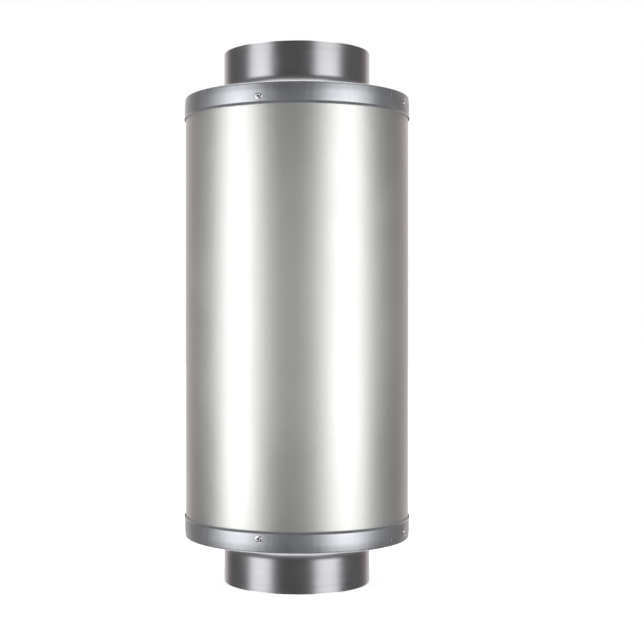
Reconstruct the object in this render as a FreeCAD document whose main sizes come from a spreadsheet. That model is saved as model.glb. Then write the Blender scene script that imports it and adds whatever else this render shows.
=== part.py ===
import FreeCAD, Part, Sketcher

import math
import os
import sys

# Cylindrical duct sound attenuator for 200 mm duct, standing on its lower spigot.
# Origin: middle of the lower spigot's rim, +Z up along the airway, front towards -Y.
# Millimetres throughout.

V = FreeCAD.Vector
Placement, Rotation = FreeCAD.Placement, FreeCAD.Rotation

doc = FreeCAD.newDocument("duct_attenuator")

# ---------------------------------------------------------------------------
# Driving dimensions
# ---------------------------------------------------------------------------
DIMS = [
    ("total_length", 717.0, "rim to rim"),
    ("body_length", 595.2, "closing band face to closing band face"),
    ("gauge", 0.6, "sheet thickness of every sheet part"),
    ("fit_gap", 0.05, "play between nested sheets"),
    ("spigot_dia", 198.0, "outside of both spigots"),
    ("shell_dia", 302.9, "outside of the jacket"),
    ("rim_dia", 304.2, "outside of the end plate's turned-down rim"),
    ("rim_depth", 23.0, "depth of that rim"),
    ("band_dia", 305.5, "outside of the closing bands"),
    ("band_width", 28.6, "height of a closing band"),
    ("flange_width", 6.2, "turned-in edge of a band"),
    ("corner_radius", 3.5, "outside bend of a band's corner"),
    ("lip_width", 3.4, "flared lip at a band's free edge"),
    ("lip_flare", 0.95, "how far the lip stands out"),
    ("lip_radius", 2.4, "bend between band and lip"),
    ("lap_angle", 4.6, "width of the lap joints, in degrees of turn"),
    ("step_dia", 258.0, "where the flat ring meets the shoulder"),
    ("step_radius", 2.6, "hollow bend at that place"),
    ("crest_dia", 246.0, "top corner of the shoulder"),
    ("crest_rise", 4.5, "height of the shoulder over the flat ring"),
    ("crest_radius", 12.0, "round of the shoulder"),
    ("foot_dia", 211.2, "foot of the hollow sweep, on the shoulder"),
    ("foot_rise", 4.9, "its height"),
    ("foot_radius", 7.5, "lower part of the sweep"),
    ("root_rise", 12.1, "height where the sweep meets the spigot"),
    ("root_radius", 16.0, "upper part of the sweep"),
    ("seal_thick", 2.4, "foam ring between jacket edge and end plate"),
    ("seal_inner_dia", 286.0, "inside of the foam ring"),
    ("tube_dia", 196.6, "outside of the perforated tube"),
    ("tube_length", 680.0, "length of the perforated tube"),
    ("slot_width", 7.0, "perforation, across"),
    ("slot_length", 28.0, "perforation, along the tube"),
    ("slot_row", 40.0, "row pitch"),
    ("slot_rows", 15, "rows"),
    ("slot_columns", 44, "slots in a full row"),
    ("fleece_thick", 2.5, "airway lining"),
    ("fleece_inset", 1.0, "lining ends this far inside the rims"),
    ("joint_slit", 0.3, "open butt joint of a wrapped layer, in degrees"),
    ("wool_split_dia", 249.3, "between the two wool layers"),
    ("wool_dia", 300.4, "outside of the outer wool layer"),
    ("wool_length", 587.0, "length of both wool layers"),
    ("wool_ease", 5.2, "outer layer drawn in at its ends"),
    ("wool_ease_length", 26.0, "over this length"),
    ("rivet_head_dia", 9.6, "blind rivet head"),
    ("rivet_head_height", 1.6, "dome of the head"),
    ("rivet_shank_dia", 4.8, "rivet shank"),
    ("rivet_hole_dia", 4.9, "drilled holes"),
    ("rivet_grip", 1.95, "stack of sheets between head and bulb"),
    ("bulb_dia", 6.8, "upset end behind the jacket"),
    ("bulb_length", 3.0, "its length"),
    ("mandrel_dia", 2.7, "broken mandrel stub"),
    ("mandrel_head_dia", 4.4, "head of the mandrel"),
    ("weld_dia", 5.4, "spot weld mark"),
    ("weld_depth", 0.22, "depth of the mark"),
    ("weld_drop", 9.2, "below the band's end face"),
    ("weld_turn", 53.0, "first mark, degrees from the front"),
    ("shell_seam_turn", 174.0, "jacket's lap seam, degrees from the front"),
    ("band_seam_turn", 128.0, "bands' lap joint, degrees from the front"),
    # four hand-drilled rivets in each band: turn from the front and drop from the end face
    ("first_turn", -18.4, ""), ("first_drop", 18.5, ""),
    ("second_turn", 69.0, ""), ("second_drop", 13.5, ""),
    ("third_turn", 160.5, ""), ("third_drop", 17.0, ""),
    ("fourth_turn", 251.0, ""), ("fourth_drop", 17.9, ""),
]

dims = doc.addObject("Spreadsheet::Sheet", "dims")
for row, (word, value, note) in enumerate(DIMS, start=1):
    dims.set("A%d" % row, word)
    dims.set("B%d" % row, str(value))
    dims.setAlias("B%d" % row, word)
    if note:
        dims.set("C%d" % row, note)
doc.recompute()


def dim(word):
    return float(dims.get(word))


GAUGE = dim("gauge")
MID = dim("total_length") / 2
SPIGOT_RISE = (dim("total_length") - dim("body_length")) / 2
TOP_FACE = MID + dim("body_length") / 2
LOW_FACE = MID - dim("body_length") / 2


def fresh(kind, name):
    return doc.addObject(kind, name)


def plane_of(body, role):
    return [f for f in body.Origin.OriginFeatures if f.Role == role][0]


def sketch_on(body, role, name):
    sk = body.newObject("Sketcher::SketchObject", name)
    sk.AttachmentSupport = [(plane_of(body, role), "")]
    sk.MapMode = "FlatFace"
    return sk


def value_of(expression):
    """The number that an expression over the sheet gives."""
    if isinstance(expression, (int, float)):
        return float(expression)
    return float(dims.evalExpression(expression.replace("dims.", "")))


def pin_point(sk, geometry, end, x_expr, y_expr):
    """Fixes a sketch point by two dimensions that follow the sheet."""
    for kind, expr in (("DistanceX", x_expr), ("DistanceY", y_expr)):
        number = value_of(expr)
        index = sk.addConstraint(Sketcher.Constraint(kind, -1, 1, geometry, end, number))
        if not isinstance(expr, (int, float)):
            sk.setExpression("Constraints[%d]" % index, expr)


def closed_profile(sk, corners):
    """A closed polygon; each corner is a pair of expressions (radius, height)."""
    points = [V(value_of(x), value_of(y), 0) for x, y in corners]
    count = len(points)
    for i in range(count):
        sk.addGeometry(Part.LineSegment(points[i], points[(i + 1) % count]), False)
    for i in range(count):
        sk.addConstraint(Sketcher.Constraint("Coincident", i, 2, (i + 1) % count, 1))
    for i, (x, y) in enumerate(corners):
        pin_point(sk, i, 1, x, y)


def sheet_profile(sk, corners):
    """The section of a bent sheet: corners of its outer face, in order, with the metal on the
    left of the path. The inner face is parallel to the outer one, one gauge away."""
    outer = [V(value_of(x), value_of(y), 0) for x, y in corners]
    n = len(outer)
    way = [(outer[i + 1] - outer[i]).normalize() for i in range(n - 1)]
    left = [V(-w.y, w.x, 0) for w in way]
    inner = []
    for i in range(n):
        if i == 0:
            inner.append(outer[0] + left[0] * GAUGE)
        elif i == n - 1:
            inner.append(outer[-1] + left[-1] * GAUGE)
        else:
            both = left[i - 1] + left[i]
            inner.append(outer[i] + both * (GAUGE / (1 + left[i - 1].dot(left[i]))))
    for i in range(n - 1):
        sk.addGeometry(Part.LineSegment(outer[i], outer[i + 1]), False)
    end_cap = sk.addGeometry(Part.LineSegment(outer[-1], inner[-1]), False)
    back = []
    for i in range(n - 1, 0, -1):
        back.append(sk.addGeometry(Part.LineSegment(inner[i], inner[i - 1]), False))
    start_cap = sk.addGeometry(Part.LineSegment(inner[0], outer[0]), False)
    loop = list(range(n - 1)) + [end_cap] + back + [start_cap]
    for i, g in enumerate(loop):
        sk.addConstraint(Sketcher.Constraint("Coincident", g, 2, loop[(i + 1) % len(loop)], 1))
    for i, (x, y) in enumerate(corners):
        if i < n - 1:
            pin_point(sk, i, 1, x, y)
        else:
            pin_point(sk, n - 2, 2, x, y)
    sk.addConstraint(Sketcher.Constraint("Perpendicular", n - 2, end_cap))
    sk.addConstraint(Sketcher.Constraint("Perpendicular", 0, start_cap))
    for j, g in enumerate(back):
        opposite = n - 2 - j
        sk.addConstraint(Sketcher.Constraint("Parallel", opposite, g))
        index = sk.addConstraint(Sketcher.Constraint("Distance", g, 1, opposite, GAUGE))
        sk.setExpression("Constraints[%d]" % index, "dims.gauge")
    return outer, inner


def spin(body, sk, name, angle=360.0, angle_expr=None):
    rev = body.newObject("PartDesign::Revolution", name)
    rev.Profile = sk
    rev.ReferenceAxis = (sk, ["V_Axis"])
    rev.Angle = angle
    if angle_expr:
        rev.setExpression("Angle", angle_expr)
    sk.Visibility = False
    body.Tip = rev
    doc.recompute()
    return rev


def ring_edges(shape, places):
    """Names of the circular edges that run through the given (radius, height) places."""
    names = []
    for radius, height in places:
        for i, edge in enumerate(shape.Edges, start=1):
            c = edge.Curve
            if not isinstance(c, Part.Circle):
                continue
            if abs(c.Radius - radius) < 1e-3 and abs(c.Center.z - height) < 1e-3 and abs(c.Axis.z) > 0.99:
                names.append("Edge%d" % i)
                break
        else:
            raise RuntimeError("no edge at %s" % ((radius, height),))
    return names


def round_bend(body, name, places, radius_expr):
    tip = body.Tip
    f = body.newObject("PartDesign::Fillet", name)
    f.Base = (tip, ring_edges(tip.Shape, places))
    f.Radius = value_of(radius_expr)
    f.setExpression("Radius", radius_expr)
    body.Tip = f
    doc.recompute()
    return f


def bend(body, name, outer, inner, i, radius_word, convex):
    """Rounds corner i of a bent sheet on both faces, keeping the gauge."""
    r_out = "dims.%s" % radius_word
    r_in = "dims.%s %s dims.gauge" % (radius_word, "-" if convex else "+")
    round_bend(body, name + "_outside", [(outer[i].x, outer[i].y)], r_out)
    round_bend(body, name + "_inside", [(inner[i].x, inner[i].y)], r_in)


# An end part is drawn in a frame of its own: z = 0 is the band's end face, +z points out of
# the body. The upper ones are lifted to TOP_FACE, the lower ones are turned over about X.
def end_place(side):
    if side > 0:
        return Placement(V(0, 0, TOP_FACE), Rotation())
    return Placement(V(0, 0, LOW_FACE), Rotation(V(1, 0, 0), 180))


def local_turn(turn, side):
    """Angle about the end part's own z for a place given in degrees from the front."""
    return side * (turn - 90.0)


RIVETS = [(dim(w + "_turn"), dim(w + "_drop")) for w in ("first", "second", "third", "fourth")]


def radial(turn_local, radius, height):
    """A frame whose z points outwards along a radius."""
    a = math.radians(turn_local)
    rot = Rotation(V(0, 0, 1), turn_local).multiply(Rotation(V(0, 1, 0), 90))
    return Placement(V(radius * math.cos(a), radius * math.sin(a), height), rot)


def drill_set(name, side, with_welds):
    """The four rivet holes of one end, and the spot weld marks, as a compound of tools."""
    tools = []
    for k, (turn, drop) in enumerate(RIVETS):
        c = fresh("Part::Cylinder", "%s_drill_%d" % (name, k + 1))
        c.setExpression("Radius", "dims.rivet_hole_dia / 2")
        c.Height = 8.0
        c.Placement = radial(local_turn(turn, side), dim("band_dia") / 2 - 5.0, -drop)
        tools.append(c)
    if with_welds:
        # a shallow dish: a ball that dips into the face by weld_depth
        half, deep = dim("weld_dia") / 2, dim("weld_depth")
        ball = (half * half + deep * deep) / (2 * deep)
        for k in range(2):
            s = fresh("Part::Sphere", "%s_weld_%d" % (name, k + 1))
            s.setExpression(
                "Radius",
                "(dims.weld_dia * dims.weld_dia / 4 + dims.weld_depth * dims.weld_depth) / (2 * dims.weld_depth)",
            )
            turn = dim("weld_turn") + 180.0 * k
            a = math.radians(local_turn(turn, side))
            r = dim("band_dia") / 2 - deep + ball
            s.Placement = Placement(V(r * math.cos(a), r * math.sin(a), -dim("weld_drop")), Rotation())
            tools.append(s)
    comp = fresh("Part::Compound", name)
    comp.Links = tools
    return comp


def cut(name, base, tool, place):
    c = fresh("Part::Cut", name)
    c.Base = base
    c.Tool = tool
    doc.recompute()
    c.Placement = place
    c.Label = name
    base.Visibility = False
    tool.Visibility = False
    doc.recompute()
    return c


PARTS = []


def keep(obj, label):
    obj.Label = label
    PARTS.append(obj)
    return obj


# ---------------------------------------------------------------------------
# End plates: spun sheet with rim, flat ring, raised shoulder and spigot
# ---------------------------------------------------------------------------
def end_plate(label, side):
    body = fresh("PartDesign::Body", label + "_spun")
    sk = sketch_on(body, "XZ_Plane", label + "_section")
    flat = "-dims.gauge"
    outer, inner = sheet_profile(sk, [
        ("dims.rim_dia / 2", flat + " - dims.rim_depth"),
        ("dims.rim_dia / 2", flat),
        ("dims.step_dia / 2", flat),
        ("dims.crest_dia / 2", flat + " + dims.crest_rise"),
        ("dims.foot_dia / 2", flat + " + dims.foot_rise"),
        ("dims.spigot_dia / 2", flat + " + dims.root_rise"),
        ("dims.spigot_dia / 2", "(dims.total_length - dims.body_length) / 2"),
    ])
    doc.recompute()
    spin(body, sk, label + "_spin")
    round_bend(body, label + "_rim_outside", [(outer[1].x, outer[1].y)], "dims.corner_radius - dims.gauge")
    round_bend(body, label + "_rim_inside", [(inner[1].x, inner[1].y)], "dims.corner_radius - 2 * dims.gauge")
    bend(body, label + "_step", outer, inner, 2, "step_radius", False)
    bend(body, label + "_crest", outer, inner, 3, "crest_radius", True)
    bend(body, label + "_foot", outer, inner, 4, "foot_radius", False)
    bend(body, label + "_root", outer, inner, 5, "root_radius", False)
    return keep(cut(label, body, drill_set(label + "_holes", side, False), end_place(side)), label)


# ---------------------------------------------------------------------------
# Closing bands: rolled strip, turned in over the plate, flared lip, lap joint
# ---------------------------------------------------------------------------
def closing_band(label, side):
    body = fresh("PartDesign::Body", label + "_rolled")
    # drawn lip first, so that the metal lies on the left of the path
    sk = sketch_on(body, "XZ_Plane", label + "_section")
    outer, inner = sheet_profile(sk, [
        ("dims.band_dia / 2 + dims.lip_flare", "-dims.band_width"),
        ("dims.band_dia / 2", "-dims.band_width + dims.lip_width"),
        ("dims.band_dia / 2", 0.0),
        ("dims.band_dia / 2 - dims.flange_width", 0.0),
    ])
    doc.recompute()
    spin(body, sk, label + "_roll")
    bend(body, label + "_corner", outer, inner, 2, "corner_radius", True)
    # the lip turns outwards, so the outer face is the hollow one
    bend(body, label + "_flare", outer, inner, 1, "lip_radius", False)
    # the strip's outer end lies over its inner end
    lap = sketch_on(body, "XZ_Plane", label + "_lap_section")
    closed_profile(lap, [
        ("dims.band_dia / 2 - dims.gauge / 2", "-dims.corner_radius"),
        ("dims.band_dia / 2 - dims.gauge / 2", "-dims.band_width + dims.lip_width + 0.6"),
        ("dims.band_dia / 2 + dims.gauge", "-dims.band_width + dims.lip_width + 0.6"),
        ("dims.band_dia / 2 + dims.gauge", "-dims.corner_radius"),
    ])
    doc.recompute()
    spin(body, lap, label + "_lap", dim("lap_angle"), "dims.lap_angle")
    body.Placement = Placement(V(), Rotation(V(0, 0, 1), local_turn(dim("band_seam_turn"), side)))
    doc.recompute()
    return keep(cut(label, body, drill_set(label + "_holes", side, True), end_place(side)), label)


# ---------------------------------------------------------------------------
# Sealing rings: flat foam rings, eased at the outside corner under the plate's bend
# ---------------------------------------------------------------------------
def sealing_ring(label, side):
    body = fresh("PartDesign::Body", label + "_body")
    sk = sketch_on(body, "XZ_Plane", label + "_section")
    top = "-2 * dims.gauge - dims.fit_gap"
    foot = "-2 * dims.gauge - dims.seal_thick + dims.fit_gap"
    closed_profile(sk, [
        ("dims.seal_inner_dia / 2", foot),
        ("dims.shell_dia / 2 - 0.2", foot),
        ("dims.shell_dia / 2 - 2.3", top),
        ("dims.seal_inner_dia / 2", top),
    ])
    doc.recompute()
    spin(body, sk, label + "_ring")
    body.Placement = end_place(side)
    return keep(body, label)


upper_end_plate = end_plate("upper_end_plate", 1)
lower_end_plate = end_plate("lower_end_plate", -1)
upper_band = closing_band("upper_closing_band", 1)
lower_band = closing_band("lower_closing_band", -1)
upper_seal = sealing_ring("upper_sealing_ring", 1)
lower_seal = sealing_ring("lower_sealing_ring", -1)

# ---------------------------------------------------------------------------
# Jacket: rolled sheet with a joggled lap seam; the joint shows outside as a fine groove
# ---------------------------------------------------------------------------
SHELL_LEN = "dims.body_length - 4 * dims.gauge - 2 * dims.seal_thick"


def bound_cylinder(name, radius_expr, height_expr, angle_expr=None):
    c = fresh("Part::Cylinder", name)
    c.setExpression("Radius", radius_expr)
    c.setExpression("Height", height_expr)
    if angle_expr:
        c.setExpression("Angle", angle_expr)
    return c


def pair(kind, name, one, other):
    b = fresh(kind, name)
    b.Base, b.Tool = one, other
    one.Visibility = False
    other.Visibility = False
    return b


jacket_tube = pair(
    "Part::Cut", "jacket_tube",
    bound_cylinder("jacket_outside", "dims.shell_dia / 2", SHELL_LEN),
    bound_cylinder("jacket_inside", "dims.shell_dia / 2 - dims.gauge", SHELL_LEN),
)
seam_strap = pair(
    "Part::Cut", "seam_strap",
    bound_cylinder("strap_outside", "dims.shell_dia / 2 - dims.gauge / 2", SHELL_LEN, "dims.lap_angle"),
    bound_cylinder("strap_inside", "dims.shell_dia / 2 - 2 * dims.gauge", SHELL_LEN),
)
seam_turn = local_turn(dim("shell_seam_turn"), 1)
seam_strap.Base.Placement = Placement(V(), Rotation(V(0, 0, 1), seam_turn - dim("lap_angle") / 2))
jacket_lapped = pair("Part::Fuse", "jacket_lapped", jacket_tube, seam_strap)
groove = fresh("Part::Box", "seam_groove")
groove.setExpression("Length", "dims.gauge + 2")
groove.Width = 0.5
groove.setExpression("Height", SHELL_LEN)
groove_turn = math.radians(seam_turn + dim("lap_angle") * 0.3)
groove_start = dim("shell_dia") / 2 - GAUGE
groove.Placement = Placement(
    V(groove_start * math.cos(groove_turn) + 0.25 * math.sin(groove_turn),
      groove_start * math.sin(groove_turn) - 0.25 * math.cos(groove_turn), 0),
    Rotation(V(0, 0, 1), math.degrees(groove_turn)),
)
jacket_seamed = pair("Part::Cut", "jacket_seamed", jacket_lapped, groove)

shell_length = dim("body_length") - 4 * GAUGE - 2 * dim("seal_thick")
shell_foot = MID - shell_length / 2
shell_drills = []
for side, face in ((1, TOP_FACE), (-1, LOW_FACE)):
    for k, (turn, drop) in enumerate(RIVETS):
        c = fresh("Part::Cylinder", "jacket_drill_%s_%d" % ("up" if side > 0 else "low", k + 1))
        c.setExpression("Radius", "dims.rivet_hole_dia / 2")
        c.Height = 8.0
        c.Placement = radial(local_turn(turn, 1), dim("band_dia") / 2 - 6.0, face - side * drop - shell_foot)
        shell_drills.append(c)
jacket_holes = fresh("Part::Compound", "jacket_holes")
jacket_holes.Links = shell_drills
doc.recompute()
outer_shell = keep(cut("outer_shell", jacket_seamed, jacket_holes, Placement(V(0, 0, shell_foot), Rotation())), "outer_shell")


# ---------------------------------------------------------------------------
# Wrapped layers: airway lining and two wraps of wool, each with an open butt joint
# ---------------------------------------------------------------------------
def wrapped_layer(label, corners, joint_turn):
    body = fresh("PartDesign::Body", label + "_body")
    sk = sketch_on(body, "XZ_Plane", label + "_section")
    closed_profile(sk, corners)
    doc.recompute()
    spin(body, sk, label + "_wrap", 360.0 - dim("joint_slit"), "360 - dims.joint_slit")
    body.Placement = Placement(V(0, 0, MID), Rotation(V(0, 0, 1), local_turn(joint_turn, 1)))
    return keep(body, label)


half_rim = "dims.total_length / 2 - dims.fleece_inset"
half_tube = "dims.tube_length / 2 + 0.5"
bore = "dims.tube_dia / 2 - dims.gauge - dims.fit_gap - dims.fleece_thick"
in_tube = "dims.tube_dia / 2 - dims.gauge - dims.fit_gap"
in_spigot = "dims.spigot_dia / 2 - dims.gauge - dims.fit_gap"
airway_fleece = wrapped_layer("airway_fleece", [
    (bore, "-(%s)" % half_rim),
    (in_spigot, "-(%s)" % half_rim),
    (in_spigot, "-(%s)" % half_tube),
    (in_tube, "-(%s)" % half_tube),
    (in_tube, half_tube),
    (in_spigot, half_tube),
    (in_spigot, half_rim),
    (bore, half_rim),
], 187.0)

half_wool = "dims.wool_length / 2"
inner_wool = wrapped_layer("inner_wool_layer", [
    ("dims.tube_dia / 2 + dims.fit_gap", "-" + half_wool),
    ("dims.wool_split_dia / 2 - dims.fit_gap", "-" + half_wool),
    ("dims.wool_split_dia / 2 - dims.fit_gap", half_wool),
    ("dims.tube_dia / 2 + dims.fit_gap", half_wool),
], 90.0)
outer_wool = wrapped_layer("outer_wool_layer", [
    ("dims.wool_split_dia / 2 + dims.fit_gap", "-" + half_wool),
    ("dims.wool_dia / 2 - dims.wool_ease", "-" + half_wool),
    ("dims.wool_dia / 2 - dims.wool_ease", "-" + half_wool + " + dims.wool_ease_length - 4"),
    ("dims.wool_dia / 2", "-" + half_wool + " + dims.wool_ease_length"),
    ("dims.wool_dia / 2", half_wool + " - dims.wool_ease_length"),
    ("dims.wool_dia / 2 - dims.wool_ease", half_wool + " - dims.wool_ease_length + 4"),
    ("dims.wool_dia / 2 - dims.wool_ease", half_wool),
    ("dims.wool_split_dia / 2 + dims.fit_gap", half_wool),
], 270.0)

# ---------------------------------------------------------------------------
# Perforated tube: staggered slots along the tube, plain margins at both ends and a
# plain strip along the weld at the back
# ---------------------------------------------------------------------------
tube_r = dim("tube_dia") / 2
tube_len = dim("tube_length")
tube = Part.makeCylinder(tube_r, tube_len).cut(Part.makeCylinder(tube_r - GAUGE, tube_len))
rows, columns = int(dim("slot_rows")), int(dim("slot_columns"))
wide, high = dim("slot_width"), dim("slot_length")
first_row = (tube_len - (rows - 1) * dim("slot_row")) / 2
punches = []
for k in range(rows):
    for i in range(columns):
        a = 360.0 * (i + 0.5 * (k % 2)) / columns
        if abs((a - 90.0 + 180.0) % 360.0 - 180.0) < 5.5:
            continue
        punch = Part.makeBox(6, wide, high, V(tube_r - 3, -wide / 2, first_row + k * dim("slot_row") - high / 2))
        punch.rotate(V(), V(0, 0, 1), a)
        punches.append(punch)
tube = tube.cut(Part.makeCompound(punches))
perforated_tube = fresh("Part::Feature", "perforated_tube")
perforated_tube.Shape = tube.Solids[0]
perforated_tube.Placement = Placement(V(0, 0, MID - tube_len / 2), Rotation())
keep(perforated_tube, "perforated_tube")
print("perforations", len(punches))

# ---------------------------------------------------------------------------
# Blind rivets: z = 0 is the band's face under the head, +z points outwards
# ---------------------------------------------------------------------------
rivet = fresh("PartDesign::Body", "blind_rivet")
sk = sketch_on(rivet, "XZ_Plane", "blind_rivet_section")
closed_profile(sk, [
    ("dims.mandrel_dia / 2 + dims.fit_gap", "dims.rivet_head_height"),
    ("dims.mandrel_dia / 2 + dims.fit_gap", "-dims.rivet_grip - dims.bulb_length"),
    ("dims.bulb_dia / 2 - 0.7", "-dims.rivet_grip - dims.bulb_length"),
    ("dims.bulb_dia / 2", "-dims.rivet_grip - dims.bulb_length + 0.9"),
    ("dims.bulb_dia / 2", "-dims.rivet_grip"),
    ("dims.rivet_shank_dia / 2", "-dims.rivet_grip"),
    ("dims.rivet_shank_dia / 2", 0.0),
    ("dims.rivet_head_dia / 2", 0.0),
    ("dims.rivet_head_dia / 2", "dims.rivet_head_height * 0.2"),
    ("dims.rivet_head_dia / 2 * 0.86", "dims.rivet_head_height * 0.52"),
    ("dims.rivet_head_dia / 2 * 0.66", "dims.rivet_head_height * 0.8"),
    ("dims.rivet_head_dia / 2 * 0.44", "dims.rivet_head_height"),
])
doc.recompute()
spin(rivet, sk, "blind_rivet_turned")

stub = fresh("PartDesign::Body", "mandrel_stub")
sk = sketch_on(stub, "XZ_Plane", "mandrel_stub_section")
closed_profile(sk, [
    (0.0, "dims.rivet_head_height * 0.35"),
    (0.0, "-dims.rivet_grip - dims.bulb_length - 1.7"),
    ("dims.mandrel_head_dia / 2 * 0.6", "-dims.rivet_grip - dims.bulb_length - 1.7"),
    ("dims.mandrel_head_dia / 2", "-dims.rivet_grip - dims.bulb_length - 0.9"),
    ("dims.mandrel_head_dia / 2", "-dims.rivet_grip - dims.bulb_length - dims.fit_gap"),
    ("dims.mandrel_dia / 2", "-dims.rivet_grip - dims.bulb_length - dims.fit_gap"),
    ("dims.mandrel_dia / 2", "dims.rivet_head_height * 0.35"),
])
doc.recompute()
spin(stub, sk, "mandrel_stub_turned")


def riveted(label, master, side):
    stations = []
    for turn, drop in RIVETS:
        one = master.Shape.copy()
        one.Placement = radial(local_turn(turn, side), dim("band_dia") / 2, -drop)
        stations.append(one)
    group = fresh("Part::Feature", label)
    group.Shape = Part.makeCompound(stations)
    group.Placement = end_place(side)
    return keep(group, label)


riveted("upper_rivets", rivet, 1)
riveted("lower_rivets", rivet, -1)
riveted("upper_rivet_mandrels", stub, 1)
riveted("lower_rivet_mandrels", stub, -1)

doc.recompute()

# ---------------------------------------------------------------------------
# Nothing is written unless every object is sound
# ---------------------------------------------------------------------------
bad = []
for obj in doc.Objects:
    if "Invalid" in obj.State or "Error" in obj.State:
        bad.append("%s: %s" % (obj.Name, obj.State))
for obj in doc.Objects:
    if obj.TypeId == "Sketcher::SketchObject" and obj.solve() != 0:
        bad.append("%s: sketch isn't solved" % obj.Name)
for obj in PARTS:
    shape = obj.Shape
    if shape.isNull() or not shape.isValid() or not shape.Solids:
        bad.append("%s: bad shape" % obj.Label)
if bad:
    print("\n".join(bad))
    sys.exit(1)

os.makedirs("parts", exist_ok=True)
for obj in PARTS:
    shape = obj.Shape
    shape.exportStep("parts/%s.step" % obj.Label)
    b = shape.BoundBox
    print("%-22s solids %2d  volume %12.1f  x %.2f %.2f  y %.2f %.2f  z %.2f %.2f" % (
        obj.Label, len(shape.Solids), shape.Volume, b.XMin, b.XMax, b.YMin, b.YMax, b.ZMin, b.ZMax))
print("nodes", len(PARTS))
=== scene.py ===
import math

import bpy
import numpy as np
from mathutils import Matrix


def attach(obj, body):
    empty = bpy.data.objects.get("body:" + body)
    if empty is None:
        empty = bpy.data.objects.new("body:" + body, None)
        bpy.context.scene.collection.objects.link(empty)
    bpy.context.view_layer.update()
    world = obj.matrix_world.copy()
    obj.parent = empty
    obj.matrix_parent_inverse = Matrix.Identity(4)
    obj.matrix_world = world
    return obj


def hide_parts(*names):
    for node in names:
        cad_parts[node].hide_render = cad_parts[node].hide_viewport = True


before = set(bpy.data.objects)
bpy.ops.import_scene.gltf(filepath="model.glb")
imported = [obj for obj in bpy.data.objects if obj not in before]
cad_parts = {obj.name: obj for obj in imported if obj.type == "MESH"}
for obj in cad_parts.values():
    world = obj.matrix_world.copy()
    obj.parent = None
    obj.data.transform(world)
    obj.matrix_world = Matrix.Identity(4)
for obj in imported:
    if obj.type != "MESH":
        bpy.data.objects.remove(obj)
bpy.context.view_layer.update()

# Everything is in metres. Turns are degrees from the front (-Y) towards +X.
MM = 0.001
TOTAL = 717.0
TOP_FACE = 656.1
LOW_FACE = 60.9
MID = 358.5
GAUGE = 0.6
RIVETS = [(-18.4, 18.5), (69.0, 13.5), (160.5, 17.0), (251.0, 17.9)]
WELDS = [53.0, 233.0]
WELD_DROP = 9.2
BAND_R = 152.75
SHELL_R = 151.45


# ---------------------------------------------------------------------------
# Sections
# ---------------------------------------------------------------------------
def rounded(corners, radii, pitch):
    """Samples a path with rounded corners: an array of r, z, nr, nz, with the normal on the right of the path."""
    pts = [np.array(c, float) for c in corners]
    n = len(pts)
    out = []
    start = pts[0]

    def line(a, b):
        d = b - a
        length = np.linalg.norm(d)
        if length < 1e-9:
            return
        d = d / length
        count = max(2, int(math.ceil(length / pitch)) + 1)
        for t in np.linspace(0, length, count):
            p = a + d * t
            out.append((p[0], p[1], d[1], -d[0]))

    for i in range(1, n - 1):
        a, b, c = pts[i - 1], pts[i], pts[i + 1]
        u, v = (b - a) / np.linalg.norm(b - a), (c - b) / np.linalg.norm(c - b)
        turn = math.atan2(u[0] * v[1] - u[1] * v[0], u @ v)
        reach = radii[i] * math.tan(abs(turn) / 2)
        line(start, b - u * reach)
        side = 1.0 if turn > 0 else -1.0
        centre = b - u * reach + side * radii[i] * np.array([-u[1], u[0]])
        first = math.atan2(-side * u[0], side * u[1])
        steps = max(6, int(math.ceil(abs(turn) * radii[i] / min(pitch, 0.7))), int(abs(turn) / 0.09))
        for k in range(1, steps):
            d = first + turn * k / steps
            p = centre + radii[i] * np.array([math.cos(d), math.sin(d)])
            normal = side * np.array([math.cos(d), math.sin(d)])
            out.append((p[0], p[1], normal[0], normal[1]))
        start = b + v * reach
    line(start, pts[-1])
    rows = [out[0]]
    for row in out[1:]:
        if math.hypot(row[0] - rows[-1][0], row[1] - rows[-1][1]) > 1e-6:
            rows.append(row)
    return np.array(rows)


def sheet(corners, radii, pitch, gauge=GAUGE, chamfer=0.09):
    """Matched outer and inner faces of a bent sheet, with softly broken cut edges, and the distance along it."""
    face = rounded(corners, radii, pitch)
    outer = face[:, :2].copy()
    normal = face[:, 2:]
    inner = outer - normal * gauge
    way = np.array([-normal[:, 1], normal[:, 0]]).T

    def tip(k, sign):
        shift = way[k] * chamfer * sign
        o, i, m = outer[k].copy(), inner[k].copy(), normal[k]
        outer[k] = o + shift
        inner[k] = i + shift
        return o - m * chamfer, i + m * chamfer

    o0, i0 = tip(0, 1.0)
    o1, i1 = tip(-1, -1.0)
    outer = np.vstack([o0, outer, o1])
    inner = np.vstack([i0, inner, i1])
    normal = np.vstack([normal[0], normal, normal[-1]])
    arc = np.concatenate([[0], np.cumsum(np.linalg.norm(np.diff(outer, axis=0), axis=1))])
    return outer, inner, normal, arc


def turns_with(base, places):
    """Turns all round at a base step, with finer stretches: places are (turn, half width, step)."""
    values = list(np.arange(0.0, 360.0 - base * 0.5, base))
    for turn, half, step in places:
        low, high = turn - half, turn + half
        values = [v for v in values if not (low - step * 0.5 < ((v - turn + 180) % 360 - 180) + turn < high + step * 0.5)]
        values += [v % 360.0 for v in np.arange(low, high + step * 0.25, step)]
    values = sorted(set(round(v, 5) for v in values))
    return np.array(values)


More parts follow.
